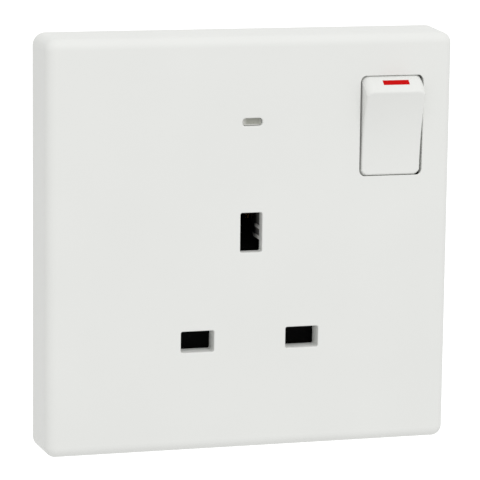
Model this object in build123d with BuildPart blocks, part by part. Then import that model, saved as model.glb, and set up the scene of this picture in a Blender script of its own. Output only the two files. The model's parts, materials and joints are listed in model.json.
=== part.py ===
from build123d import *
import os
from math import acos, cos, hypot, radians, sin, sqrt, tan

# Switched wall socket with neon window and screwless cover, in millimetres.
# X points right, Y points into the wall, Z points up.
# The origin is the plate's centre on the wall plane, and the front face looks along -Y.

# Cover plate
plate_size = 86.0
plate_depth = 11.5
plate_draft_deg = 2.0
plate_corner = 2.6
plate_edge = 2.1
front_wall = 2.2
skirt_wall = 2.0
cavity_corner = 1.2
post_radius = 1.5
post_inset = 6.0

# Openings for the plug's pins
pin_pitch = 22.23
earth_z = 2.5
line_slot_w = 7.0
line_slot_h = 4.4
earth_slot_w = 4.6
earth_slot_h = 8.2
slot_corner = 0.4
slot_rim = 0.25
line_tunnel = 4.0
collar_wall = 1.2

# Snap nibs that hold the cover on the frame, and the notch that levers it off
nib_width = 8.0
nib_spread = 44.0
nib_bite = 0.8
nib_front = 1.25
nib_back = 0.3
notch_width = 8.0
notch_depth = 1.2

# Neon window
neon_z = 25.2
neon_w = 4.2
neon_h = 1.6
neon_corner = 0.7
neon_rim = 0.3
neon_sink = 0.9
neon_flange = 1.0
neon_flange_t = 1.0
lamp_radius = 2.0
lamp_length = 9.0
lamp_pip = 0.9
resistor_x = 8.0
resistor_drop = 14.8
resistor_length = 6.5
resistor_radius = 1.1
lead_radius = 0.35
lead_bend = 0.8
lead_elbow = 2.0
lead_margin = 3.0

# Rocker of the switch
rocker_from_right = 13.35
rocker_from_top = 19.3
rocker_open_w = 13.5
rocker_open_h = 20.5
rocker_corner = 1.2
rocker_round = 1.7
rocker_gap = 0.2
rocker_pivot_depth = 6.0
rocker_throw_deg = 20.3
rocker_draft_deg = 2.0
rocker_dish = 0.8
rocker_wall = 1.4
rocker_skirt = 1.0
rocker_edge = 0.45
rocker_rim = 0.15
trunnion_radius = 1.4
trunnion_length = 1.9
ear_radius = 2.2
stem_radius = 3.0
stem_end = 7.0
mark_w = 5.6
mark_h = 1.3
mark_depth = 0.5
mark_from_crease = 2.5
mark_right = 0.35

# Sprung plunger in the rocker's stem
plunger_radius = 1.85
plunger_tip = 1.6
plunger_reach = 13.4
plunger_shoulder = 1.1
plunger_back = -0.5
plunger_well = 1.5
plunger_well_end = 5.0
rocker_spring_wire = 0.22
rocker_spring_mean = 1.15
rocker_spring_turns = 5

# Mounting frame
frame_plate = 2.2
frame_clear = 0.4
frame_corner = 2.0
frame_ledge = 0.8
recess_depth = 1.0
recess_rim = 2.4
recess_corner = 1.5
screw_pitch = 60.3
screw_hole = 2.1
screw_pad = 5.0
screw_pad_h = 1.2
platform_front = 5.3
platform_w = 38.0
platform_top = 11.0
platform_margin = 6.0
platform_corner = 2.0
cheek_wall = 1.8
cradle_wall = 1.2
cradle_spread = 5.2
boss_radius = 2.6
boss_height = 4.0

# Safety shutter and its spring
shutter_front = 7.2
shutter_plate = 1.6
shutter_travel = 5.3
shutter_lap = 0.6
shutter_half_w = 16.3
shutter_stem = 5.0
fork_top = 6.9
fork_slot = 5.2
fork_rib_h = 0.9
fork_rib_out = 0.25
fork_rib_at = (0.45, -1.75)
rail_wall = 2.0
rail_height = 2.4
shutter_spring_wire = 0.3
shutter_spring_mean = 1.75
shutter_spring_turns = 4
shutter_spring_length = 10.2
spigot_radius = 1.2
spigot_length = 2.2
spring_lug = 2.6

# Rear housing
housing_left = -25.0
housing_right = 25.0
housing_margin = 12.0
housing_rim = 1.2
housing_corner = 2.0
housing_edge = 0.6
bay_side = 0.8
bay_drop = 12.4
strip_back = 12.8
housing_floor = 1.2
tower_wall = 1.5
tower_floor = 2.0

# Stamped contacts
strip_t = 0.8
strip_bend = 0.7
strip_width = 4.2
link_gap = 2.4
line_jaw_w = 6.0
earth_jaw_h = 8.0
jaw_mouth = 2.9
jaw_pinch = 1.7
jaw_root = 2.2
jaw_front = 1.2
jaw_pinch_y = 4.2
finger_slot = 0.8
finger_depth = 7.0

# Terminals
block_w = 8.0
block_depth = 8.0
block_h = 9.0
wire_hole = 2.2
wire_level = 3.8
wire_mouth = 2.7
terminal_drop = 8.8
live_terminal_x = 10.0
earth_terminal_x = -3.0
terminal_shank = 1.55
terminal_head = 2.4
terminal_head_h = 1.4
driver_slot = 0.7

# Switch contacts
pivot_level = 1.6
seesaw_throw_deg = 14.3
seesaw_bend_deg = 9.0
seesaw_t = 1.2
seesaw_lift = 0.3
seesaw_w = 5.0
seesaw_up = 8.2
seesaw_down = 6.0
ridge_radius = 0.8
tip_arm = 6.6
tip_radius = 1.6
tip_height = 0.7
rivet_radius = 0.85
rivet_head = 1.2
rivet_head_h = 0.3
tip_gap = 0.15

# Screws that hold the rear housing to the frame
housing_screw_shank = 1.1
housing_screw_head = 2.2
housing_screw_head_h = 1.5
housing_screw_sink = 1.8
housing_screw_bite = 3.2
housing_screw_wall = 0.7
housing_screw_drop = 5.0
housing_screw_cross = 3.1

# Clearances
fit_clear = 0.1
seat_clear = 0.2
slide_clear = 0.3
pin_clear = 0.3

# Levels and places that follow from the sizes above
plate_half = plate_size / 2
front_y = -plate_depth
inner_y = -(plate_depth - front_wall)
line_x = pin_pitch / 2
line_z = earth_z - pin_pitch
skirt_inner = plate_half - skirt_wall
frame_half = skirt_inner - frame_clear
frame_y = -frame_plate
platform_y = -platform_front
platform_bottom = platform_margin - plate_half
lamp_y = inner_y + neon_flange_t + lamp_radius + fit_clear
strip_front = strip_back - strip_t
housing_back = strip_back + housing_floor
block_back = strip_back + block_depth
tower_back = block_back + tower_floor
wire_y = strip_back + wire_level
rocker_x = plate_half - rocker_from_right
rocker_z = plate_half - rocker_from_top
bay_half = seesaw_w / 2 + bay_side
bay_right = rocker_x + bay_half + tower_wall
bay_bottom = rocker_z - bay_drop
fixed_z = rocker_z + tip_arm
fixed_low = fixed_z - strip_width / 2
fixed_high = fixed_z + strip_width / 2
housing_top = fixed_high + seat_clear + housing_rim
housing_bottom = housing_margin - plate_half
terminal_z = housing_top - terminal_drop
resistor_z = housing_top - resistor_drop
link_left = live_terminal_x + block_w / 2 + link_gap
link_right = link_left + strip_width
screw_edge = housing_screw_head + housing_screw_wall
housing_screw_places = [
    (housing_left + screw_edge + housing_corner, housing_top - screw_edge - housing_screw_drop),
    (housing_left + screw_edge + housing_corner, housing_bottom + screw_edge),
    (housing_right - screw_edge, housing_bottom + screw_edge),
    (link_right + seat_clear + screw_edge, bay_bottom + screw_edge),
]

# Rocker frame: its first axis runs back along the stem, its second up, tilted as when switched on
half_throw_deg = rocker_throw_deg / 2
rocker_y = front_y + rocker_pivot_depth
rocker_w = rocker_open_w - 2 * rocker_gap
rocker_opening_radius = hypot(rocker_open_h / 2, rocker_pivot_depth)
rocker_end_radius = rocker_opening_radius - rocker_gap
tilt_cos = cos(radians(half_throw_deg))
tilt_sin = sin(radians(half_throw_deg))
stem_dir = Vector(0, tilt_cos, tilt_sin)
rocker_up = Vector(0, -tilt_sin, tilt_cos)
rocker_pivot = Vector(rocker_x, rocker_y, rocker_z)
rocker_plane = Plane(origin=rocker_pivot, x_dir=stem_dir, z_dir=(1, 0, 0))

# See-saw pivot, on the ridge behind the rocker's stem
seesaw_y = strip_back - pivot_level
seesaw_pivot = Vector(rocker_x, seesaw_y, rocker_z)


def wall_plane(y):
    """Plane parallel to the wall at depth y, with X right and Z up."""
    return Plane.XZ.offset(-y)


def panel(x, z, width, height, y, radius=0.0):
    """Rectangle centred at x, z on the plane at depth y."""
    with BuildSketch(wall_plane(y)) as face:
        with Locations((x, z)):
            if radius > 0:
                RectangleRounded(width, height, radius)
            else:
                Rectangle(width, height)
    return face.sketch


def span(left, right, bottom, top, y, radius=0.0):
    """Rectangle given by its sides on the plane at depth y."""
    return panel((left + right) / 2, (bottom + top) / 2, right - left, top - bottom, y, radius)


def disc(x, z, radius, y):
    """Circle centred at x, z on the plane at depth y."""
    with BuildSketch(wall_plane(y)) as face:
        with Locations((x, z)):
            Circle(radius)
    return face.sketch


def strip_profile(plane, points):
    """Edge-on outline of a bent strip of sheet metal along the given points."""
    with BuildSketch(plane) as face:
        with BuildLine():
            FilletPolyline(*points, radius=strip_bend)
        trace(line_width=strip_t)
    return face.sketch


def jaw_points(middle):
    """Half of a spring clip in section, then its mirror: mouth, pinch, root and base."""
    half = [(jaw_front, jaw_mouth), (jaw_pinch_y, jaw_pinch + strip_t / 2)]
    half.append((strip_front - 2 * strip_bend, jaw_root))
    half.append((strip_front + strip_t / 2, jaw_root))
    points = [(y, middle + s) for y, s in half]
    points += [(y, middle - s) for y, s in reversed(half)]
    return points


def coil(plane, mean_radius, wire_radius, turns, length):
    """Helix of six-sided wire that starts on the plane and runs along its normal."""
    wire_length = length - 2 * wire_radius
    with BuildPart() as spring:
        start = plane.offset(wire_radius)
        with BuildLine():
            path = Helix(wire_length / turns, wire_length, mean_radius, start.origin, start.z_dir)
        with BuildSketch(Plane(origin=path @ 0, z_dir=path % 0)):
            RegularPolygon(wire_radius, 6)
        sweep(path=path, is_frenet=True)
    return spring.part


def pivot_disc(radius, width, rounding):
    """Disc about the rocker's pivot line with rounded rims: the sweep of a rocker's ends."""
    with BuildPart() as wheel:
        with BuildSketch(Plane.YZ.offset(rocker_x)):
            with Locations((rocker_y, rocker_z)):
                Circle(radius)
        extrude(amount=width / 2, both=True)
        fillet(wheel.edges().filter_by(GeomType.CIRCLE), rounding)
    return wheel.part


def arm_plane(lean_deg):
    """Plane on the see-saw's pivot: its first axis runs back, its second up an arm that leans back."""
    back = Vector(0, cos(radians(lean_deg)), -sin(radians(lean_deg)))
    return Plane(origin=seesaw_pivot, x_dir=back, z_dir=(1, 0, 0))


def save(part, name):
    """Label a finished piece and write it."""
    part.label = name
    export_step(part, f"parts/{name}.step")


os.makedirs("parts", exist_ok=True)

# Front cover: drafted shell with collars behind the pin openings
with BuildPart() as front_cover:
    with BuildSketch(Plane.XZ):
        RectangleRounded(plate_size, plate_size, plate_corner)
    extrude(amount=plate_depth, taper=plate_draft_deg)
    fillet(front_cover.faces().sort_by(Axis.Y)[0].edges(), plate_edge)
    with BuildSketch(Plane.XZ):
        RectangleRounded(2 * skirt_inner, 2 * skirt_inner, cavity_corner)
    extrude(amount=plate_depth - front_wall, taper=plate_draft_deg, mode=Mode.SUBTRACT)
    line_collar = (line_slot_w + 2 * collar_wall, line_slot_h + 2 * collar_wall)
    for side in (-1, 1):
        extrude(
            panel(side * line_x, line_z, *line_collar, inner_y, collar_wall),
            amount=front_wall - line_tunnel,
        )
    post_at = skirt_inner - post_inset + skirt_wall
    for x in (-post_at, post_at):
        for z in (-post_at, post_at):
            extrude(disc(x, z, post_radius, inner_y), amount=inner_y - frame_y + fit_clear)
    for side in (-1, 1):
        extrude(
            panel(side * line_x, line_z, line_slot_w, line_slot_h, front_y, slot_corner),
            amount=-line_tunnel,
            mode=Mode.SUBTRACT,
        )
    extrude(
        panel(0, earth_z, earth_slot_w, earth_slot_h, front_y, slot_corner),
        amount=-front_wall,
        mode=Mode.SUBTRACT,
    )
    extrude(panel(0, neon_z, neon_w, neon_h, front_y, neon_corner), amount=-front_wall, mode=Mode.SUBTRACT)
    add(pivot_disc(rocker_opening_radius, rocker_open_w, rocker_corner), mode=Mode.SUBTRACT)
    for x in (-nib_spread / 2, nib_spread / 2):
        for side in (-1, 1):
            with BuildSketch(Plane.YZ.offset(x)):
                with BuildLine():
                    Polyline(
                        (-nib_front, side * (skirt_inner + nib_bite / 2)),
                        (-nib_front, side * (skirt_inner - nib_bite)),
                        (-nib_back, side * (skirt_inner - nib_bite / 4)),
                        (-nib_back, side * (skirt_inner + nib_bite / 2)),
                        close=True,
                    )
                make_face()
            extrude(amount=nib_width / 2, both=True)
    extrude(
        span(-notch_width / 2, notch_width / 2, -plate_half, -skirt_inner, 0),
        amount=notch_depth,
        mode=Mode.SUBTRACT,
    )
    face_rims = front_cover.faces().sort_by(Axis.Y)[0].inner_wires()
    for rim in face_rims:
        at = rim.center(CenterOf.BOUNDING_BOX)
        if at.X > line_x + line_slot_w:
            rounding = rocker_rim
        elif at.Z > neon_z - neon_h:
            rounding = neon_rim
        else:
            rounding = slot_rim
        fillet(rim.edges(), rounding)
save(front_cover.part, "front_cover")

# Neon lens: window in its slot with a flange behind the wall
with BuildPart() as neon_lens:
    lens_size = (neon_w - 2 * fit_clear, neon_h - 2 * fit_clear)
    extrude(
        panel(0, neon_z, *lens_size, front_y + neon_sink, neon_corner - fit_clear),
        amount=neon_sink - front_wall,
    )
    extrude(
        panel(0, neon_z, neon_w + 2 * neon_flange, neon_h + 2 * neon_flange, inner_y, neon_corner),
        amount=-neon_flange_t,
    )
save(neon_lens.part, "neon_lens")

# Neon lamp: glass envelope lying across the frame, with its sealed pip
with BuildPart() as neon_lamp:
    with BuildSketch(Plane.YZ.offset(-lamp_length / 2)):
        with Locations((lamp_y, neon_z)):
            Circle(lamp_radius)
    extrude(amount=lamp_length)
    fillet(neon_lamp.edges(), lamp_pip)
save(neon_lamp.part, "neon_lamp")

# Neon resistor: small tube with rounded ends on the frame
resistor_y = frame_y - resistor_radius - fit_clear
with BuildPart() as neon_resistor:
    with BuildSketch(Plane.YZ.offset(resistor_x)):
        with Locations((resistor_y, resistor_z)):
            Circle(resistor_radius)
    extrude(amount=resistor_length)
    fillet(neon_resistor.edges(), resistor_radius / 3)
save(neon_resistor.part, "neon_resistor")

# Neon leads: bare wires from the lamp to the resistor, the live link and the neutral terminal
link_x = link_right - strip_width / 2
lead_y = frame_y - 2 * lead_radius
lead_left = -platform_w / 2 - lead_margin
lead_low = line_z + block_h / 2 + seat_clear - 2 * lead_radius
lead_deck = platform_y - 2 * lead_radius
lead_drop = -line_x - line_jaw_w / 2 - 2 * lead_radius
lamp_end = lamp_length / 2
lead_routes = [
    [
        (lamp_end, lamp_y, neon_z),
        (resistor_x - lead_elbow, lamp_y, neon_z),
        (resistor_x - lead_elbow, resistor_y, resistor_z),
        (resistor_x, resistor_y, resistor_z),
    ],
    [
        (resistor_x + resistor_length, resistor_y, resistor_z),
        (link_x, resistor_y, resistor_z),
        (link_x, strip_front - fit_clear, resistor_z),
    ],
    [
        (-lamp_end, lamp_y, neon_z),
        (-lamp_end - lead_elbow, lamp_y, neon_z),
        (-lamp_end - 2 * lead_elbow, lead_y, resistor_z),
        (lead_left, lead_y, resistor_z),
        (lead_left, lead_y, lead_low),
        (lead_left, lead_deck, lead_low),
        (lead_drop, lead_deck, lead_low),
        (lead_drop, strip_back - fit_clear, lead_low),
    ],
]
with BuildPart() as neon_leads:
    for route in lead_routes:
        with BuildLine():
            wire_path = FilletPolyline(*route, radius=lead_bend)
        with BuildSketch(Plane(origin=wire_path @ 0, z_dir=wire_path % 0)):
            RegularPolygon(lead_radius, 8)
        sweep(path=wire_path)
save(neon_leads.part, "neon_leads")


# Rocker profile: ends that are arcs about the pivot, and a dished face between two creases.
# With the switch on, the lower crease is flush with the plate.
flush_angle = acos(rocker_pivot_depth / rocker_end_radius)
crease_angle = flush_angle - radians(half_throw_deg)
crease_back = -rocker_end_radius * cos(crease_angle)
crease_up = rocker_end_radius * sin(crease_angle)
face_back = crease_back + rocker_dish
dish_radius = (crease_up**2 + rocker_dish**2) / (2 * rocker_dish)
skirt_half = sqrt(rocker_end_radius**2 - rocker_skirt**2)


def stem_plane(back):
    """Plane across the stem, looking back along it."""
    return Plane(origin=rocker_pivot + stem_dir * back, x_dir=(1, 0, 0), z_dir=stem_dir)


mark_angle = crease_angle + mark_from_crease / rocker_end_radius
mark_out = stem_dir * -cos(mark_angle) + rocker_up * sin(mark_angle)
mark_origin = rocker_pivot + mark_out * rocker_end_radius + Vector(mark_right, 0, 0)
mark_plane = Plane(origin=mark_origin, x_dir=(1, 0, 0), z_dir=mark_out)

# Switch rocker: hollow moulding with stem, ears and trunnions
with BuildPart() as switch_rocker:
    with BuildSketch(rocker_plane):
        with Locations((-(rocker_end_radius + rocker_skirt) / 2, 0)):
            Rectangle(rocker_end_radius - rocker_skirt, 2 * rocker_end_radius)
        with Locations((face_back - dish_radius, 0)):
            Circle(dish_radius, mode=Mode.SUBTRACT)
    extrude(amount=rocker_w / 2, both=True)
    add(pivot_disc(rocker_end_radius, rocker_w, rocker_round), mode=Mode.INTERSECT)
    draft_half = rocker_w / 2 - rocker_end_radius * tan(radians(rocker_draft_deg))
    with BuildSketch(Plane(origin=rocker_pivot, x_dir=stem_dir, z_dir=rocker_up)):
        with BuildLine():
            Polyline(
                (0, rocker_w / 2),
                (0, -rocker_w / 2),
                (-rocker_end_radius, -draft_half),
                (-rocker_end_radius, draft_half),
                close=True,
            )
        make_face()
    extrude(amount=rocker_end_radius, both=True, mode=Mode.INTERSECT)
    front_faces = switch_rocker.faces().filter_by(lambda f: f.normal_at(f.center()).dot(stem_dir) < -0.9)
    fillet(front_faces.edges(), rocker_edge)
    with BuildSketch(rocker_plane):
        with BuildLine():
            inner_top = skirt_half - rocker_wall
            Polyline(
                (rocker_skirt, inner_top),
                (-rocker_skirt - rocker_wall, inner_top),
                (crease_back + 2 * rocker_wall, crease_up - rocker_wall),
                (face_back + rocker_wall, 0),
                (crease_back + 2 * rocker_wall, rocker_wall - crease_up),
                (-rocker_skirt - rocker_wall, -inner_top),
                (rocker_skirt, -inner_top),
                close=True,
            )
        make_face()
    extrude(amount=rocker_w / 2 - rocker_wall, both=True, mode=Mode.SUBTRACT)
    with BuildSketch(stem_plane(face_back + rocker_wall / 2)):
        Circle(stem_radius)
    extrude(amount=stem_end - face_back - rocker_wall / 2)
    for side in (-1, 1):
        with BuildSketch(rocker_plane.offset(side * (rocker_w / 2 - rocker_wall))):
            Circle(ear_radius)
            with Locations((-ear_radius, 0)):
                Rectangle(2 * ear_radius, 2 * ear_radius)
        extrude(amount=side * rocker_wall)
        with BuildSketch(rocker_plane.offset(side * (rocker_w / 2 - rocker_wall / 2))):
            Circle(trunnion_radius)
        extrude(amount=side * (trunnion_length + rocker_wall / 2))
    bore_end = face_back + 1.5 * rocker_wall
    with BuildSketch(stem_plane(bore_end)):
        Circle(plunger_radius + fit_clear)
    extrude(amount=stem_end - bore_end, mode=Mode.SUBTRACT)
    with BuildSketch(mark_plane):
        Rectangle(mark_w, mark_h)
    extrude(amount=-mark_depth, mode=Mode.SUBTRACT)
save(switch_rocker.part, "switch_rocker")

# Red mark let into the rocker's upper end, which shows when switched on
with BuildPart() as rocker_on_mark:
    with BuildSketch(mark_plane):
        Rectangle(mark_w, mark_h)
    extrude(amount=-mark_depth)
save(rocker_on_mark.part, "rocker_on_mark")

# Plunger: round pin with a domed nose and a well for its spring
with BuildPart() as rocker_plunger:
    with BuildSketch(rocker_plane):
        with BuildLine():
            Polyline(
                (plunger_well_end, 0),
                (plunger_well_end, plunger_well),
                (plunger_back, plunger_well),
                (plunger_back, plunger_radius),
                (plunger_reach - plunger_shoulder, plunger_radius),
                (plunger_reach - plunger_shoulder, plunger_tip),
                (plunger_reach, plunger_tip),
            )
            RadiusArc((plunger_reach, plunger_tip), (plunger_reach + plunger_tip, 0), plunger_tip)
            Line((plunger_reach + plunger_tip, 0), (plunger_well_end, 0))
        make_face()
    revolve(axis=Axis(rocker_pivot, stem_dir))
save(rocker_plunger.part, "rocker_plunger")

# Plunger spring: coil between the stem's bore and the plunger's well
rocker_spring = coil(
    stem_plane(bore_end),
    rocker_spring_mean,
    rocker_spring_wire,
    rocker_spring_turns,
    plunger_well_end - bore_end,
)
save(rocker_spring, "rocker_spring")

# Shutter: crossbar over the line openings, stem, and a ribbed fork with a ramp under the earth opening
line_lap = line_slot_h / 2 + shutter_lap
shutter_back = shutter_front - shutter_plate
ramp_low = earth_z - earth_slot_h / 2
bar_top = line_z + line_lap
bar_bottom = line_z - line_lap
shutter_y = -shutter_front
fork_y = inner_y + slide_clear
fork_depth = -shutter_back - fork_y
fork_low = ramp_low - shutter_plate
spring_y = -shutter_front + shutter_plate / 2
with BuildPart() as shutter:
    extrude(span(-shutter_half_w, shutter_half_w, bar_bottom, bar_top, shutter_y), amount=-shutter_plate)
    fillet(shutter.edges().filter_by(Axis.Y), slot_corner)
    extrude(span(-shutter_stem, shutter_stem, bar_top, fork_top, shutter_y), amount=-shutter_plate)
    extrude(span(-shutter_stem, shutter_stem, fork_low, fork_top, fork_y), amount=-fork_depth)
    extrude(
        span(-fork_slot / 2, fork_slot / 2, ramp_low, fork_top, fork_y),
        amount=-fork_depth,
        mode=Mode.SUBTRACT,
    )
    rib_at = (fork_slot - fork_rib_out) / 2
    for rise in fork_rib_at:
        for side in (-1, 1):
            extrude(
                panel(side * rib_at, earth_z + rise, fork_rib_out, fork_rib_h, fork_y),
                amount=-fork_depth,
            )
    with BuildSketch(Plane.YZ):
        with BuildLine():
            Polyline(
                (shutter_y, ramp_low),
                (shutter_y + shutter_travel, ramp_low + shutter_travel),
                (shutter_y + shutter_travel, ramp_low + shutter_plate),
                (shutter_y + shutter_plate, ramp_low - shutter_plate),
                (shutter_y, ramp_low - shutter_plate),
                close=True,
            )
        make_face()
    extrude(amount=fork_slot / 2, both=True)
    with BuildSketch(Plane.XY.offset(bar_bottom)):
        with Locations((0, spring_y)):
            Circle(spigot_radius)
    extrude(amount=-spigot_length)
save(shutter.part, "shutter")

# Shutter spring: coil under the crossbar
spring_seat = bar_bottom - fit_clear - shutter_spring_length
shutter_spring = coil(
    Plane(origin=(0, spring_y, spring_seat), z_dir=(0, 0, 1)),
    shutter_spring_mean,
    shutter_spring_wire,
    shutter_spring_turns,
    shutter_spring_length,
)
save(shutter_spring, "shutter_spring")

# Mounting frame: plate with socket platform, shutter rails, rocker cheeks and screw pads
with BuildPart() as mounting_frame:
    extrude(panel(0, 0, 2 * frame_half, 2 * frame_half, 0, frame_corner), amount=frame_plate)
    extrude(
        span(-platform_w / 2, platform_w / 2, platform_bottom, platform_top, 0, platform_corner),
        amount=platform_front,
    )
    rail_at = shutter_half_w + slide_clear + rail_wall / 2
    fork_rail_at = shutter_stem + slide_clear + collar_wall / 2
    for side in (-1, 1):
        extrude(
            span(
                side * rail_at - rail_wall / 2,
                side * rail_at + rail_wall / 2,
                bar_bottom - shutter_travel - slide_clear,
                bar_top - slide_clear,
                platform_y,
            ),
            amount=rail_height,
        )
        extrude(
            span(
                side * fork_rail_at - collar_wall / 2,
                side * fork_rail_at + collar_wall / 2,
                ramp_low - shutter_travel,
                fork_top,
                platform_y,
            ),
            amount=rail_height,
        )
    trough = shutter_spring_mean + shutter_spring_wire + slide_clear
    with BuildSketch(Plane.XY.offset(spring_seat)):
        with Locations((0, spring_y)):
            Circle(trough)
    extrude(amount=bar_top - spring_seat, mode=Mode.SUBTRACT)
    extrude(
        span(-trough, trough, spring_seat - spring_lug, spring_seat, 0),
        amount=shutter_front + shutter_spring_mean / 2,
    )
    with BuildSketch(Plane.XY.offset(spring_seat)):
        with Locations((0, spring_y)):
            Circle(spigot_radius)
    extrude(amount=spigot_length)
    for side in (-1, 1):
        extrude(
            panel(
                side * line_x,
                line_z,
                line_slot_w + 2 * pin_clear,
                line_slot_h + 2 * pin_clear,
                platform_y,
                slot_corner,
            ),
            amount=-platform_front,
            mode=Mode.SUBTRACT,
        )
    window_low = ramp_low - shutter_plate - shutter_travel - slide_clear
    extrude(
        span(
            -fork_slot / 2 - slide_clear,
            fork_slot / 2 + slide_clear,
            window_low,
            earth_z + earth_slot_h / 2 + pin_clear,
            platform_y,
        ),
        amount=-platform_front,
        mode=Mode.SUBTRACT,
    )
    cheek_at = rocker_w / 2 + rocker_gap + cheek_wall / 2
    for side in (-1, 1):
        with BuildSketch(Plane.YZ.offset(rocker_x + side * cheek_at)):
            with Locations((rocker_y, rocker_z)):
                Circle(ear_radius + fit_clear)
            with Locations(((rocker_y + frame_y) / 2, rocker_z)):
                Rectangle(frame_y - rocker_y, 2 * ear_radius + 2 * fit_clear)
            with Locations((rocker_y, rocker_z)):
                Circle(trunnion_radius + fit_clear, mode=Mode.SUBTRACT)
        extrude(amount=cheek_wall / 2, both=True)
    stem_room = stem_radius + slide_clear
    stem_rise = stem_radius / tilt_cos - rocker_y * tilt_sin / tilt_cos + slide_clear
    extrude(
        panel(rocker_x, rocker_z, 2 * stem_room, 2 * stem_rise, 0, stem_room / 2),
        amount=frame_plate,
        mode=Mode.SUBTRACT,
    )
    for side in (-1, 1):
        with BuildSketch(Plane.YZ.offset(side * cradle_spread / 2)):
            with Locations(((lamp_y + frame_y) / 2, neon_z)):
                Rectangle(frame_y - lamp_y, 2 * lamp_radius + 2 * cradle_wall)
            with Locations((lamp_y, neon_z)):
                Circle(lamp_radius + fit_clear, mode=Mode.SUBTRACT)
        extrude(amount=cradle_wall / 2, both=True)
    for x in (-screw_pitch / 2, screw_pitch / 2):
        extrude(disc(x, 0, screw_pad, frame_y), amount=screw_pad_h)
        extrude(disc(x, 0, screw_hole, 0), amount=frame_plate + screw_pad_h, mode=Mode.SUBTRACT)
    for x, z in housing_screw_places:
        extrude(disc(x, z, boss_radius, 0), amount=boss_height)
        extrude(
            disc(x, z, housing_screw_shank + fit_clear / 2, 0),
            amount=housing_screw_bite + fit_clear,
            mode=Mode.SUBTRACT,
        )
    for x in (-nib_spread / 2, nib_spread / 2):
        for side in (-1, 1):
            pocket_low = skirt_inner - nib_bite - seat_clear
            extrude(
                span(
                    x - nib_width / 2 - slide_clear,
                    x + nib_width / 2 + slide_clear,
                    min(side * pocket_low, side * skirt_inner),
                    max(side * pocket_low, side * skirt_inner),
                    0,
                ),
                amount=frame_plate - frame_ledge,
                mode=Mode.SUBTRACT,
            )
    recess_out = frame_half - recess_rim
    recess_in = housing_right + recess_rim
    recess_mid = screw_pad + recess_rim
    recesses = [
        (-recess_out, housing_left - recess_rim, recess_mid, recess_out),
        (-recess_out, housing_left - recess_rim, -recess_out, -recess_mid),
        (recess_in, recess_out, -recess_out, -recess_mid),
        (housing_left, -recess_rim / 2, -recess_out, housing_bottom - recess_rim),
        (recess_rim / 2, housing_right, -recess_out, housing_bottom - recess_rim),
    ]
    for left, right, bottom, top in recesses:
        extrude(span(left, right, bottom, top, 0, recess_corner), amount=recess_depth, mode=Mode.SUBTRACT)
    lead_hole = lead_radius + seat_clear
    extrude(disc(link_x, resistor_z, lead_hole, 0), amount=frame_plate, mode=Mode.SUBTRACT)
    extrude(disc(lead_drop, lead_low, lead_hole, 0), amount=platform_front, mode=Mode.SUBTRACT)
save(mounting_frame.part, "mounting_frame")

# Live link: right of the live jaws, up to the switch and across under the see-saw
cradle_right = rocker_x + seesaw_w / 2
cradle_low = rocker_z - strip_width / 2
cradle_high = rocker_z + strip_width / 2
link_low = line_z - strip_width / 2
jaw_plane = Plane.YZ


def line_jaws(x):
    """Spring clip for a line pin, as wide as the pin."""
    return strip_profile(jaw_plane.offset(x), jaw_points(line_z))


# Live contact: jaws, link strip and the ridge that carries the see-saw
with BuildPart() as live_contact:
    extrude(line_jaws(line_x), amount=line_jaw_w / 2, both=True)
    extrude(span(line_x, link_right, link_low, link_low + strip_width, strip_front), amount=-strip_t)
    extrude(span(link_left, link_right, link_low, cradle_high, strip_front), amount=-strip_t)
    extrude(span(link_left, cradle_right, cradle_low, cradle_high, strip_front), amount=-strip_t)
    with BuildSketch(Plane.YZ.offset(rocker_x)):
        with Locations((seesaw_y, rocker_z)):
            Circle(ridge_radius)
        with Locations(((seesaw_y + strip_front) / 2, rocker_z)):
            Rectangle(strip_front - seesaw_y, 2 * ridge_radius)
    extrude(amount=seesaw_w / 2, both=True)
save(live_contact.part, "live_contact")

# Neutral contact: jaws whose base sits on the neutral terminal
with BuildPart() as neutral_contact:
    extrude(line_jaws(-line_x), amount=line_jaw_w / 2, both=True)
save(neutral_contact.part, "neutral_contact")

# Earth contact: upright jaws with split fingers, and a strip up to the earth terminal
with BuildPart() as earth_contact:
    earth_plane = Plane(origin=(0, 0, earth_z), x_dir=(0, 1, 0), z_dir=(0, 0, 1))
    extrude(strip_profile(earth_plane, jaw_points(0)), amount=earth_jaw_h / 2, both=True)
    with BuildSketch(Plane.YZ):
        with Locations(((jaw_front + finger_depth) / 2, earth_z)):
            Rectangle(finger_depth - jaw_front + strip_t, finger_slot)
    extrude(amount=jaw_mouth + strip_t, both=True, mode=Mode.SUBTRACT)
    extrude(
        span(-jaw_root, jaw_root, earth_z - earth_jaw_h / 2, terminal_z + block_h / 2, strip_front),
        amount=-strip_t,
    )
save(earth_contact.part, "earth_contact")

# Fixed contact: strip from the live terminal to the switch, with a hole for its tip
fixed_right = rocker_x + seesaw_w / 2
live_left = live_terminal_x - block_w / 2
live_right = live_terminal_x + block_w / 2
with BuildPart() as fixed_contact:
    extrude(span(live_left, fixed_right, fixed_low, fixed_high, strip_front), amount=-strip_t)
    extrude(span(live_left, live_right, terminal_z - block_h / 2, fixed_high, strip_front), amount=-strip_t)
    extrude(disc(rocker_x, fixed_z, rivet_radius, strip_front), amount=-strip_t, mode=Mode.SUBTRACT)
save(fixed_contact.part, "fixed_contact")

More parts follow.
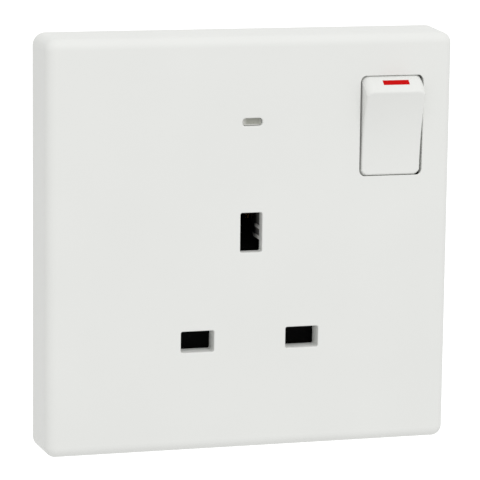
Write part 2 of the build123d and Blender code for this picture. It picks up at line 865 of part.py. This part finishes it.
# See-saw contact: bar bent to a shallow V, with a groove over the ridge and a hole for its tip
long_arm = arm_plane(seesaw_throw_deg / 2 - seesaw_bend_deg)
short_arm = arm_plane(seesaw_throw_deg / 2 + seesaw_bend_deg)
tip_axis = Axis(seesaw_pivot + long_arm.y_dir * tip_arm, long_arm.x_dir)
with BuildPart() as seesaw_contact:
    for arm, low, high in ((long_arm, 0, seesaw_up), (short_arm, -seesaw_down, 0)):
        with BuildSketch(arm):
            with Locations((-seesaw_lift - seesaw_t / 2, (low + high) / 2)):
                Rectangle(seesaw_t, high - low)
        extrude(amount=seesaw_w / 2, both=True)
    with BuildSketch(long_arm):
        Circle(ridge_radius + fit_clear)
    extrude(amount=seesaw_w / 2, both=True, mode=Mode.SUBTRACT)
    for arm in (long_arm, short_arm):
        along_sheet = seesaw_contact.edges().filter_by(GeomType.LINE)
        corners = along_sheet.filter_by(lambda e: abs((e % 0).dot(arm.x_dir)) > 0.999)
        fillet(corners, rivet_radius)
    with BuildSketch(Plane(origin=tip_axis.position, x_dir=(1, 0, 0), z_dir=long_arm.x_dir)):
        Circle(rivet_radius)
    extrude(amount=-seesaw_lift - seesaw_t, mode=Mode.SUBTRACT)
save(seesaw_contact.part, "seesaw_contact")

# See-saw tip: domed rivet through the bar's long arm
with BuildPart() as seesaw_contact_tip:
    with BuildSketch(long_arm):
        with BuildLine():
            Polyline(
                (-seesaw_lift + tip_height, tip_arm),
                (-seesaw_lift - seesaw_t - rivet_head_h, tip_arm),
                (-seesaw_lift - seesaw_t - rivet_head_h, tip_arm + rivet_head),
                (-seesaw_lift - seesaw_t, tip_arm + rivet_head),
                (-seesaw_lift - seesaw_t, tip_arm + rivet_radius),
                (-seesaw_lift, tip_arm + rivet_radius),
                (-seesaw_lift, tip_arm + tip_radius),
            )
            dome_radius = (tip_radius**2 + tip_height**2) / (2 * tip_height)
            RadiusArc((-seesaw_lift, tip_arm + tip_radius), (-seesaw_lift + tip_height, tip_arm), dome_radius)
        make_face()
    revolve(axis=tip_axis)
save(seesaw_contact_tip.part, "seesaw_contact_tip")

# Fixed tip: flat rivet that meets the see-saw's dome
tip_nose = tip_axis.position + long_arm.x_dir * (tip_height - seesaw_lift)
fixed_tip_y = tip_nose.Y + tip_gap
with BuildPart() as fixed_contact_tip:
    extrude(disc(rocker_x, fixed_z, tip_radius, fixed_tip_y), amount=fixed_tip_y - strip_front)
    extrude(disc(rocker_x, fixed_z, rivet_radius, strip_front), amount=-strip_t)
save(fixed_contact_tip.part, "fixed_contact_tip")


def terminal_block(x, z):
    """Brass block with a wire hole along Z and a threaded hole for its screw along Y."""
    with BuildPart() as block:
        extrude(panel(x, z, block_w, block_h, strip_back), amount=-block_depth)
        chamfer(block.edges().filter_by(Axis.Y), strip_t / 2)
        with BuildSketch(Plane.XY.offset(z)):
            with Locations((x, wire_y)):
                Circle(wire_hole)
        extrude(amount=block_h / 2, both=True, mode=Mode.SUBTRACT)
        screw_face = disc(x, z, terminal_shank + fit_clear / 2, block_back)
        extrude(screw_face, amount=block_back - wire_y, mode=Mode.SUBTRACT)
    return block.part


terminal_places = {
    "live_terminal": (live_terminal_x, terminal_z),
    "neutral_terminal": (-line_x, line_z),
    "earth_terminal": (earth_terminal_x, terminal_z),
}
for name, place in terminal_places.items():
    save(terminal_block(*place), name)

# Terminal screws: slotted cheese heads, backed off the wire holes
screw_tip = wire_y + wire_hole + fit_clear
head_low = block_back + fit_clear
with BuildPart() as terminal_screws:
    for x, z in terminal_places.values():
        extrude(disc(x, z, terminal_shank, screw_tip), amount=screw_tip - head_low)
        extrude(disc(x, z, terminal_head, head_low), amount=-terminal_head_h)
        extrude(
            panel(x, z, 2 * terminal_head, driver_slot, head_low + terminal_head_h),
            amount=terminal_head_h / 2,
            mode=Mode.SUBTRACT,
        )
save(terminal_screws.part, "terminal_screws")

# Rear housing: moulded tub with contact pockets in front and terminal towers behind
room = 2 * seat_clear
with BuildPart() as rear_housing:
    extrude(
        span(housing_left, housing_right, housing_bottom, housing_top, 0, housing_corner),
        amount=-housing_back,
    )
    extrude(
        span(housing_right - 2 * housing_corner, bay_right, bay_bottom, housing_top, 0, housing_corner),
        amount=-housing_back,
    )
    fillet(rear_housing.faces().sort_by(Axis.Y)[-1].edges(), housing_edge)
    tower_w = block_w + 2 * seat_clear + 2 * tower_wall
    tower_h = block_h + 2 * seat_clear + 2 * tower_wall
    for x, z in terminal_places.values():
        extrude(panel(x, z, tower_w, tower_h, strip_back, housing_corner), amount=strip_back - tower_back)
    fillet(rear_housing.faces().group_by(Axis.Y)[-1].edges(), housing_edge)
    for x, z in terminal_places.values():
        extrude(
            panel(x, z, block_w + room, block_h + room, 0),
            amount=-block_back,
            mode=Mode.SUBTRACT,
        )
        extrude(
            disc(x, z, terminal_head + slide_clear, block_back),
            amount=-tower_floor,
            mode=Mode.SUBTRACT,
        )
        wire_side = 1 if z > 0 else -1
        with BuildSketch(Plane.XY.offset(z)):
            with Locations((x, wire_y)):
                Circle(wire_mouth)
        extrude(amount=wire_side * tower_h / 2, mode=Mode.SUBTRACT)
    jaw_room = jaw_mouth + strip_t / 2 + seat_clear
    extrude(
        panel(line_x, line_z, line_jaw_w + room, 2 * jaw_room, 0),
        amount=-strip_back,
        mode=Mode.SUBTRACT,
    )
    extrude(
        panel(0, earth_z, 2 * jaw_room, earth_jaw_h + room, 0),
        amount=-strip_back,
        mode=Mode.SUBTRACT,
    )
    channels = [
        (line_x, link_right, link_low, link_low + strip_width),
        (link_left, link_right, link_low, cradle_high),
        (link_left, cradle_right, cradle_low, cradle_high),
        (-jaw_root, jaw_root, earth_z, terminal_z + block_h / 2),
        (live_left, fixed_right, fixed_low, fixed_high),
        (
            rocker_x - bay_half,
            rocker_x + bay_half,
            rocker_z - seesaw_down - tower_wall,
            fixed_high,
        ),
    ]
    for left, right, bottom, top in channels:
        extrude(
            span(left - seat_clear, right + seat_clear, bottom - seat_clear, top + seat_clear, 0),
            amount=-strip_back,
            mode=Mode.SUBTRACT,
        )
    screw_clear = housing_screw_shank + fit_clear
    for x, z in housing_screw_places:
        extrude(disc(x, z, screw_clear, 0), amount=-housing_back, mode=Mode.SUBTRACT)
        extrude(
            disc(x, z, housing_screw_head + fit_clear, housing_back - housing_screw_sink),
            amount=-housing_screw_sink,
            mode=Mode.SUBTRACT,
        )
    core_depth = strip_back - housing_floor
    cores = [
        (
            housing_left + tower_wall,
            earth_terminal_x - tower_w / 2,
            line_z + tower_h / 2,
            terminal_z - tower_h / 2 + tower_wall,
        ),
        (
            -line_x + tower_w / 2,
            line_x - line_jaw_w / 2 - seat_clear - tower_wall,
            housing_bottom + tower_wall,
            earth_z - earth_jaw_h / 2 - seat_clear - tower_wall,
        ),
        (
            jaw_room + tower_wall,
            link_left - seat_clear - tower_wall,
            line_z + jaw_room + tower_wall,
            terminal_z - tower_h / 2,
        ),
    ]
    for left, right, bottom, top in cores:
        extrude(span(left, right, bottom, top, 0, tower_wall), amount=-core_depth, mode=Mode.SUBTRACT)
save(rear_housing.part, "rear_housing")

# Screws from the back of the housing into the frame's bosses
screw_seat = housing_back - housing_screw_sink
with BuildPart() as housing_screws:
    for x, z in housing_screw_places:
        extrude(disc(x, z, housing_screw_shank, screw_seat), amount=screw_seat + housing_screw_bite)
        extrude(disc(x, z, housing_screw_head, screw_seat), amount=-housing_screw_head_h)
        for turn in (0, 90):
            with BuildSketch(wall_plane(screw_seat + housing_screw_head_h)):
                with Locations(Location((x, z), turn)):
                    Rectangle(housing_screw_cross, driver_slot)
            extrude(amount=housing_screw_head_h / 2, mode=Mode.SUBTRACT)
save(housing_screws.part, "housing_screws")
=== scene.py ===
import json
import math

import bmesh
import bpy
from mathutils import Matrix, Vector


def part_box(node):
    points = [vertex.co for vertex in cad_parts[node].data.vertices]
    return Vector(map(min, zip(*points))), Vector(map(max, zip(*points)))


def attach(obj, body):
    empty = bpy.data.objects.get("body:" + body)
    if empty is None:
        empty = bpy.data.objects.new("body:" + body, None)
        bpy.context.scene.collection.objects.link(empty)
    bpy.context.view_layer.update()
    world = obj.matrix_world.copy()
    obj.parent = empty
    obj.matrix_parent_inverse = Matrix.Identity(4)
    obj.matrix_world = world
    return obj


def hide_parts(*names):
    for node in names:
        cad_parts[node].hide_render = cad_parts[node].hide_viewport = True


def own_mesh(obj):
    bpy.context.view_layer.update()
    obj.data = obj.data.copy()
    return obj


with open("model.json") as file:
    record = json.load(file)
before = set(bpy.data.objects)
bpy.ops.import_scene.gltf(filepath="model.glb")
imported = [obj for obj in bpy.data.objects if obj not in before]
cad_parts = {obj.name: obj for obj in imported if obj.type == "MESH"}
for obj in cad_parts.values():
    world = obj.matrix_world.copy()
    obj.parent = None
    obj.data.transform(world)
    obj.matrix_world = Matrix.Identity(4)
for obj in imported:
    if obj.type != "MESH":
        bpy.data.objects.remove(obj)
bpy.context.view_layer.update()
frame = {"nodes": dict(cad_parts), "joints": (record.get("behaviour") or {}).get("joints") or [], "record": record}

# Lengths are in metres, apart from the camera's sensor and the picture

# Camera, fitted to the plate's outline and the pin openings: angles from the plate's normal
IMAGE_PX = 480
FOCAL_PX = 2921.5
SENSOR_MM = 36.0
CAMERA_LEFT = math.radians(16.03)
CAMERA_UP = math.radians(10.39)
CAMERA_ROLL = math.radians(0.71)
CAMERA_DISTANCE = 0.6068
CAMERA_TARGET = Vector((0.00091, 0.0, -0.00112))
CLIP_NEAR = 0.01
CLIP_FAR = 100.0

# Studio: the floor, the light levels and the key lamp
FLOOR_LEVEL = -0.3
FLOOR_HALF = 12.0
FLOOR_ALBEDO = 0.86
FLOOR_GLOW = 0.5
WORLD_LEVEL = 0.827
SEEN_LEVEL = 1.0
KEY_PLACE = Vector((0.12, -1.05, 1.2))
KEY_SIZE = 0.9
KEY_POWER = 7.3

WHITE = (1, 1, 1)

# Span of a noise's values over which a finish changes
NOISE_LOW = 0.3
NOISE_HIGH = 0.7

# Moulded plastic: clouds from the flow in the mould, and how the die's grain varies the roughness
FLOW_GRAIN = 0.02
FLOW_DETAIL = 2.0
DIE_DETAIL = 4.0
DIE_SPREAD = 0.05

# Metal: clouds of tarnish, and draw lines, whose noise is stretched along one axis
TARNISH_GRAIN = 0.004
TARNISH_DETAIL = 5.0
TARNISH_LOW = 0.35
TARNISH_HIGH = 0.6
LINE_GRAIN = 0.0004
LINE_DETAIL = 3.0
LINE_DEPTH = 0.000004
LINE_SMOOTHER = 0.08
LINE_ROUGHER = 0.1
ALONG_X = (0.08, 1, 1)
ALONG_Z = (1, 1, 0.08)

# Lamp glass: its streaks run along X
GLASS_IOR = 1.5
GLASS_SMOOTHEST = 0.01
GLASS_ROUGHEST = 0.05
STREAK_GRAIN = 0.002
STREAK_DETAIL = 2.0
STREAK_SCALE = (1, 4, 4)

# Shutter: ribs in its fork, seen through the earth opening, and the painted light on them: how pale the ribs and
# the fork around them are painted where lit
RIB_LEVELS = (0.00307, 0.00087)
RIB_HALF_HEIGHT = 0.00034
RIB_INSIDE = 0.0023
RIB_FRONT = -0.009
RIB_BACK = -0.004
FORK_PAINTED_LIGHT = 0.3
SHUTTER_ROUGHNESS = 0.55
SHUTTER_GRAIN = 0.0003
SHUTTER_DEPTH = 0.000003
SHUTTER_SPECULAR = 0.03

# Neon window: painted light, where its pale ends and foot start, measured from the window's middle
LENS_LEFT = -0.00095
LENS_RIGHT = 0.0015
LENS_FOOT = -0.0004
LENS_END_FADE = 0.0009
LENS_FOOT_FADE = 0.00025
LENS_IOR = 1.49
LENS_CLEARNESS = 0.2
LENS_SMOOTHEST = 0.25
LENS_ROUGHEST = 0.35
LENS_GRAIN = 0.0012
LENS_DETAIL = 3.0
LENS_DEPTH = 0.00001

# Raised letters beside the terminals, on the back of the housing
HOUSING_BACK = 0.014
LETTER_SIZE = 0.0045
LETTER_RAISE = 0.0004
LETTER_ROUND = 0.00005
SEAM_WIDTH = 0.000002
LETTER_FROM_TERMINAL = 0.0105
TERMINAL_LETTERS = {"live_terminal": "L", "earth_terminal": "E", "neutral_terminal": "N"}


def add_object(name, data):
    """New object in the scene."""
    made = bpy.data.objects.new(name, data)
    bpy.context.scene.collection.objects.link(made)
    return made


# Camera, floor and light

def make_camera():
    """Camera at the photograph's angle, distance and roll."""
    away = Vector((
        -math.sin(CAMERA_LEFT) * math.cos(CAMERA_UP),
        -math.cos(CAMERA_LEFT) * math.cos(CAMERA_UP),
        math.sin(CAMERA_UP),
    ))
    right = away.cross(Vector((0, 0, -1))).normalized()
    up = away.cross(right)
    turned_right = right * math.cos(CAMERA_ROLL) + up * math.sin(CAMERA_ROLL)
    turned_up = up * math.cos(CAMERA_ROLL) - right * math.sin(CAMERA_ROLL)
    data = bpy.data.cameras.new("photo_camera")
    data.sensor_width = SENSOR_MM
    data.lens = FOCAL_PX * SENSOR_MM / IMAGE_PX
    data.clip_start = CLIP_NEAR
    data.clip_end = CLIP_FAR
    camera = add_object("photo_camera", data)
    turn = Matrix((turned_right, turned_up, away)).transposed().to_4x4()
    camera.matrix_world = Matrix.Translation(CAMERA_TARGET + away * CAMERA_DISTANCE) @ turn
    bpy.context.scene.camera = camera


def math_node(tree, operation, *values):
    """Result of a math node whose inputs are sockets or numbers."""
    node = tree.nodes.new("ShaderNodeMath")
    node.operation = operation
    for socket, value in zip(node.inputs, values):
        if isinstance(value, (int, float)):
            socket.default_value = value
        else:
            tree.links.new(value, socket)
    return node.outputs["Value"]


def seen_directly(tree):
    """1 for rays that come from the camera, straight or by way of gloss or glass."""
    path = tree.nodes.new("ShaderNodeLightPath")
    total = path.outputs["Is Camera Ray"]
    for name in ("Is Glossy Ray", "Is Transmission Ray"):
        total = math_node(tree, "MAXIMUM", total, path.outputs[name])
    return total


def make_world():
    """White surroundings where they are seen, and an even soft light elsewhere."""
    world = bpy.data.worlds.new("studio")
    bpy.context.scene.world = world
    world.use_nodes = True
    tree = world.node_tree
    light = tree.nodes["Background"]
    seen = tree.nodes.new("ShaderNodeBackground")
    choose = tree.nodes.new("ShaderNodeMixShader")
    tree.links.new(seen_directly(tree), choose.inputs["Fac"])
    for place, node, level in ((1, light, WORLD_LEVEL), (2, seen, SEEN_LEVEL)):
        node.inputs["Color"].default_value = (*WHITE, 1)
        node.inputs["Strength"].default_value = level
        tree.links.new(node.outputs["Background"], choose.inputs[place])
    tree.links.new(choose.outputs["Shader"], tree.nodes["World Output"].inputs["Surface"])


def make_floor():
    """Pale floor well below the part: white where it is lit, darker in the part's shadow."""
    signs = [(-1, -1), (1, -1), (1, 1), (-1, 1)]
    corners = [(x * FLOOR_HALF, y * FLOOR_HALF, FLOOR_LEVEL) for x, y in signs]
    mesh = bpy.data.meshes.new("floor")
    mesh.from_pydata(corners, [], [(0, 1, 2, 3)])
    floor = add_object("floor", mesh)
    mat = bpy.data.materials.new("pale_floor")
    mat.use_nodes = True
    tree = mat.node_tree
    tree.nodes.remove(tree.nodes["Principled BSDF"])
    matte = tree.nodes.new("ShaderNodeBsdfDiffuse")
    matte.inputs["Color"].default_value = (FLOOR_ALBEDO, FLOOR_ALBEDO, FLOOR_ALBEDO, 1)
    glow = tree.nodes.new("ShaderNodeEmission")
    glow_level = math_node(tree, "MULTIPLY", seen_directly(tree), FLOOR_GLOW)
    tree.links.new(glow_level, glow.inputs["Strength"])
    both = tree.nodes.new("ShaderNodeAddShader")
    tree.links.new(matte.outputs["BSDF"], both.inputs[0])
    tree.links.new(glow.outputs["Emission"], both.inputs[1])
    tree.links.new(both.outputs["Shader"], tree.nodes["Material Output"].inputs["Surface"])
    mesh.materials.append(mat)


def make_lamp(name, place, size, power):
    """Square soft box that looks at the part."""
    data = bpy.data.lights.new(name, "AREA")
    data.shape = "SQUARE"
    data.size = size
    data.energy = power
    lamp = add_object(name, data)
    turn = (-place).to_track_quat("-Z", "Y").to_matrix().to_4x4()
    lamp.matrix_world = Matrix.Translation(place) @ turn


# Small builders for the nodes that the finishes share

def new_finish(name, metallic=0.0):
    """New material with its tree and shader."""
    mat = bpy.data.materials.new(name)
    mat.use_nodes = True
    tree = mat.node_tree
    shader = tree.nodes["Principled BSDF"]
    shader.inputs["Metallic"].default_value = metallic
    return mat, tree, shader


def noise(tree, grain, detail, scale=(1, 1, 1)):
    """Noise whose features are about grain metres wide, in the part's own coordinates."""
    place = tree.nodes.new("ShaderNodeTexCoord")
    mapping = tree.nodes.new("ShaderNodeMapping")
    mapping.inputs["Scale"].default_value = scale
    texture = tree.nodes.new("ShaderNodeTexNoise")
    texture.inputs["Scale"].default_value = 1 / grain
    texture.inputs["Detail"].default_value = detail
    tree.links.new(place.outputs["Object"], mapping.inputs["Vector"])
    tree.links.new(mapping.outputs["Vector"], texture.inputs["Vector"])
    return texture.outputs["Fac"]


def part_axes(tree):
    """X, Y and Z in the part's own coordinates."""
    place = tree.nodes.new("ShaderNodeTexCoord")
    axes = tree.nodes.new("ShaderNodeSeparateXYZ")
    tree.links.new(place.outputs["Object"], axes.inputs["Vector"])
    return axes.outputs["X"], axes.outputs["Y"], axes.outputs["Z"]


def stretch(tree, source, from_low, from_high, to_low=0.0, to_high=1.0):
    """The source, taken from one span of values to another and kept inside it."""
    span = tree.nodes.new("ShaderNodeMapRange")
    span.inputs["From Min"].default_value = from_low
    span.inputs["From Max"].default_value = from_high
    span.inputs["To Min"].default_value = to_low
    span.inputs["To Max"].default_value = to_high
    tree.links.new(source, span.inputs["Value"])
    return span.outputs["Result"]


def tint(tree, source, shader, first, second, low=0.0, high=1.0):
    """Base colour that runs from first to second as the source goes from low to high."""
    ramp = tree.nodes.new("ShaderNodeValToRGB")
    ramp.color_ramp.elements[0].position = low
    ramp.color_ramp.elements[0].color = (*first, 1)
    ramp.color_ramp.elements[1].position = high
    ramp.color_ramp.elements[1].color = (*second, 1)
    tree.links.new(source, ramp.inputs["Fac"])
    tree.links.new(ramp.outputs["Color"], shader.inputs["Base Color"])


def vary_roughness(tree, source, shader, low, high):
    """Roughness between low and high, by a noise."""
    roughness = stretch(tree, source, NOISE_LOW, NOISE_HIGH, low, high)
    tree.links.new(roughness, shader.inputs["Roughness"])


def relief(tree, source, shader, depth):
    """Fine surface relief, depth metres high."""
    bump = tree.nodes.new("ShaderNodeBump")
    bump.inputs["Distance"].default_value = depth
    tree.links.new(source, bump.inputs["Height"])
    tree.links.new(bump.outputs["Normal"], shader.inputs["Normal"])


def die_grain(tree, shader, roughness, grain, depth, specular):
    """Surface of a moulding: the die's fine grain, in roughness and relief, and the strength of its gloss."""
    die = noise(tree, grain, DIE_DETAIL)
    vary_roughness(tree, die, shader, roughness - DIE_SPREAD, roughness + DIE_SPREAD)
    relief(tree, die, shader, depth)
    shader.inputs["Specular IOR Level"].default_value = specular


# Kinds of finish

def moulded_plastic(name, colour, shade, roughness, grain, depth, specular=0.5):
    """Moulded plastic: faint flow clouds in the colour, and a fine die grain."""
    mat, tree, shader = new_finish(name)
    lighter = tuple(min(1.0, c * (1 + shade)) for c in colour)
    darker = tuple(c * (1 - shade) for c in colour)
    flow = noise(tree, FLOW_GRAIN, FLOW_DETAIL)
    tint(tree, flow, shader, darker, lighter, NOISE_LOW, NOISE_HIGH)
    die_grain(tree, shader, roughness, grain, depth, specular)
    return mat


def ribbed_plastic(name, dark, pale):
    """Black plastic with painted light: its fork, and most of all its ribs, are painted pale towards the front,
    where light reaches them.
    """
    mat, tree, shader = new_finish(name)
    x, y, z = part_axes(tree)
    # Painted highlight: the ribs, and less so the fork above its foot, are coloured pale where light falls on them
    # through the opening
    bands = [math_node(tree, "COMPARE", z, level, RIB_HALF_HEIGHT) for level in RIB_LEVELS]
    above_foot = math_node(tree, "GREATER_THAN", z, min(RIB_LEVELS))
    painted_fork_light = math_node(tree, "MULTIPLY", above_foot, FORK_PAINTED_LIGHT)
    painted_lit = math_node(tree, "MAXIMUM", math_node(tree, "ADD", *bands), painted_fork_light)
    outside = math_node(tree, "GREATER_THAN", math_node(tree, "ABSOLUTE", x), RIB_INSIDE)
    # Painted light that fades with depth: palest at the front, dark further back
    towards_front = stretch(tree, y, RIB_BACK, RIB_FRONT)
    painted_light = math_node(tree, "MULTIPLY", math_node(tree, "MULTIPLY", painted_lit, outside), towards_front)
    tint(tree, painted_light, shader, dark, pale)
    die_grain(tree, shader, SHUTTER_ROUGHNESS, SHUTTER_GRAIN, SHUTTER_DEPTH, SHUTTER_SPECULAR)
    return mat


def worked_metal(name, bright, dull, roughness, along):
    """Drawn or stamped metal: tarnish clouds, and draw lines along one direction."""
    mat, tree, shader = new_finish(name, metallic=1.0)
    tarnish = noise(tree, TARNISH_GRAIN, TARNISH_DETAIL)
    tint(tree, tarnish, shader, dull, bright, TARNISH_LOW, TARNISH_HIGH)
    lines = noise(tree, LINE_GRAIN, LINE_DETAIL, along)
    vary_roughness(tree, lines, shader, roughness - LINE_SMOOTHER, roughness + LINE_ROUGHER)
    relief(tree, lines, shader, LINE_DEPTH)
    return mat


def clear_glass(name, colour):
    """Thin lamp glass with faint streaks."""
    mat, tree, shader = new_finish(name)
    shader.inputs["Transmission Weight"].default_value = 1.0
    shader.inputs["IOR"].default_value = GLASS_IOR
    streaks = noise(tree, STREAK_GRAIN, STREAK_DETAIL, STREAK_SCALE)
    tint(tree, streaks, shader, colour, WHITE, NOISE_LOW, NOISE_HIGH)
    vary_roughness(tree, streaks, shader, GLASS_SMOOTHEST, GLASS_ROUGHEST)
    return mat


def smoky_lens(name, core, painted_light_edge):
    """Translucent window plastic: smoky, with painted light that makes it paler at both ends and along its foot.
    """
    mat, tree, shader = new_finish(name)
    low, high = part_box("neon_lens")
    middle = (low + high) / 2
    left = middle.x + LENS_LEFT
    right = middle.x + LENS_RIGHT
    foot = middle.z + LENS_FOOT
    x, _, z = part_axes(tree)
    # Painted light: the window is painted pale towards both ends and towards its foot
    at_left = stretch(tree, x, left, left - LENS_END_FADE)
    at_right = stretch(tree, x, right, right + LENS_END_FADE)
    at_foot = stretch(tree, z, foot, foot - LENS_FOOT_FADE)
    at_end = math_node(tree, "MAXIMUM", at_left, at_right)
    tint(tree, math_node(tree, "MAXIMUM", at_end, at_foot), shader, core, painted_light_edge)
    clouds = noise(tree, LENS_GRAIN, LENS_DETAIL)
    vary_roughness(tree, clouds, shader, LENS_SMOOTHEST, LENS_ROUGHEST)
    relief(tree, clouds, shader, LENS_DEPTH)
    shader.inputs["Transmission Weight"].default_value = LENS_CLEARNESS
    shader.inputs["IOR"].default_value = LENS_IOR
    return mat


# One finish for each material slot of the record
MOULDED = {
    "cover_white": dict(
        colour=(0.775, 0.782, 0.76), shade=0.008,
        roughness=0.5, grain=0.00025, depth=0.0000025, specular=0.12,
    ),
    "resistor_body": dict(
        colour=(0.55, 0.4, 0.24), shade=0.06,
        roughness=0.4, grain=0.0004, depth=0.000008,
    ),
    "mark_red": dict(
        colour=(0.54, 0.002, 0.002), shade=0.05,
        roughness=0.5, grain=0.0002, depth=0.000002, specular=0.05,
    ),
    "plunger_nylon": dict(
        colour=(0.75, 0.73, 0.65), shade=0.03,
        roughness=0.45, grain=0.0003, depth=0.000004,
    ),
    "frame_black": dict(
        colour=(0.018, 0.018, 0.018), shade=0.12,
        roughness=0.55, grain=0.0004, depth=0.00001, specular=0.3,
    ),
    "housing_white": dict(
        colour=(0.68, 0.685, 0.66), shade=0.02,
        roughness=0.5, grain=0.0005, depth=0.000012,
    ),
}
METAL = {
    "lead_tinned": dict(bright=(0.8, 0.8, 0.78), dull=(0.62, 0.62, 0.6), roughness=0.3, along=ALONG_Z),
    "spring_steel": dict(bright=(0.62, 0.62, 0.62), dull=(0.45, 0.44, 0.43), roughness=0.28, along=ALONG_X),
    "contact_brass": dict(bright=(0.82, 0.6, 0.29), dull=(0.62, 0.42, 0.19), roughness=0.3, along=ALONG_X),
    "tip_silver": dict(bright=(0.86, 0.85, 0.82), dull=(0.7, 0.68, 0.63), roughness=0.22, along=ALONG_X),
    "screw_brass": dict(bright=(0.8, 0.6, 0.31), dull=(0.62, 0.44, 0.22), roughness=0.26, along=ALONG_Z),
    "screw_steel": dict(bright=(0.72, 0.71, 0.67), dull=(0.55, 0.53, 0.47), roughness=0.3, along=ALONG_X),
}
finishes = {slot: moulded_plastic(slot, **row) for slot, row in MOULDED.items()}
finishes.update({slot: worked_metal(slot, **row) for slot, row in METAL.items()})
finishes["shutter_black"] = ribbed_plastic(
    "shutter_black", dark=(0.001, 0.001, 0.001), pale=(0.9, 0.89, 0.86),
)
finishes["lens_grey"] = smoky_lens(
    "lens_grey", core=(0.41, 0.416, 0.363), painted_light_edge=(0.85, 0.85, 0.81),
)
finishes["lamp_glass"] = clear_glass("lamp_glass", colour=(0.93, 0.95, 0.94))


# The part

def finish_nodes():
    """Give each CAD node the finish of its slot."""
    for row in frame["record"]["subparts"]:
        node = frame["nodes"][row["node"]]
        node.data.materials.clear()
        node.data.materials.append(finishes[row["material_slot"]])


def make_springs():
    """Stand-in for each CAD spring: a copy of its mesh on the body that holds it, with the CAD node hidden."""
    bodies = frame["record"]["behaviour"]["bodies"]
    for joint in frame["joints"]:
        for row in joint.get("deforming_nodes", []):
            node = row["node"]
            piece = add_object(f"{node}_coil", frame["nodes"][node].data.copy())
            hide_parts(node)
            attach(piece, next(body for body, members in bodies.items() if node in members))
            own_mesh(piece)


def close_seams(mesh):
    """Join the points that share a place, so that the mesh is one closed skin."""
    skin = bmesh.new()
    skin.from_mesh(mesh)
    bmesh.ops.remove_doubles(skin, verts=skin.verts, dist=SEAM_WIDTH)
    skin.to_mesh(mesh)
    skin.free()


def make_letters():
    """Raised letter on the housing's back beside each terminal, on the side towards the middle."""
    facing = Matrix(((-1, 0, 0), (0, 0, 1), (0, 1, 0))).transposed().to_4x4()
    for node, letter in TERMINAL_LETTERS.items():
        low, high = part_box(node)
        x = (low[0] + high[0]) / 2
        z = (low[2] + high[2]) / 2
        z -= math.copysign(LETTER_FROM_TERMINAL, z)
        curve = bpy.data.curves.new(f"letter_{letter}", "FONT")
        curve.body = letter
        curve.align_x = "CENTER"
        curve.align_y = "CENTER"
        curve.size = LETTER_SIZE
        curve.extrude = LETTER_RAISE - LETTER_ROUND
        curve.bevel_depth = LETTER_ROUND
        outline = bpy.data.objects.new(f"letter_{letter}_outline", curve)
        mesh = bpy.data.meshes.new_from_object(outline)
        bpy.data.objects.remove(outline)
        mesh.transform(Matrix.Translation((x, HOUSING_BACK, z)) @ facing)
        close_seams(mesh)
        mesh.materials.append(finishes["housing_white"])
        piece = add_object(f"terminal_letter_{letter}", mesh)
        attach(piece, "base")


make_camera()
make_world()
make_floor()
make_lamp("key_light", KEY_PLACE, KEY_SIZE, KEY_POWER)
finish_nodes()
make_springs()
make_letters()

bpy.context.scene.view_settings.view_transform = "Standard"
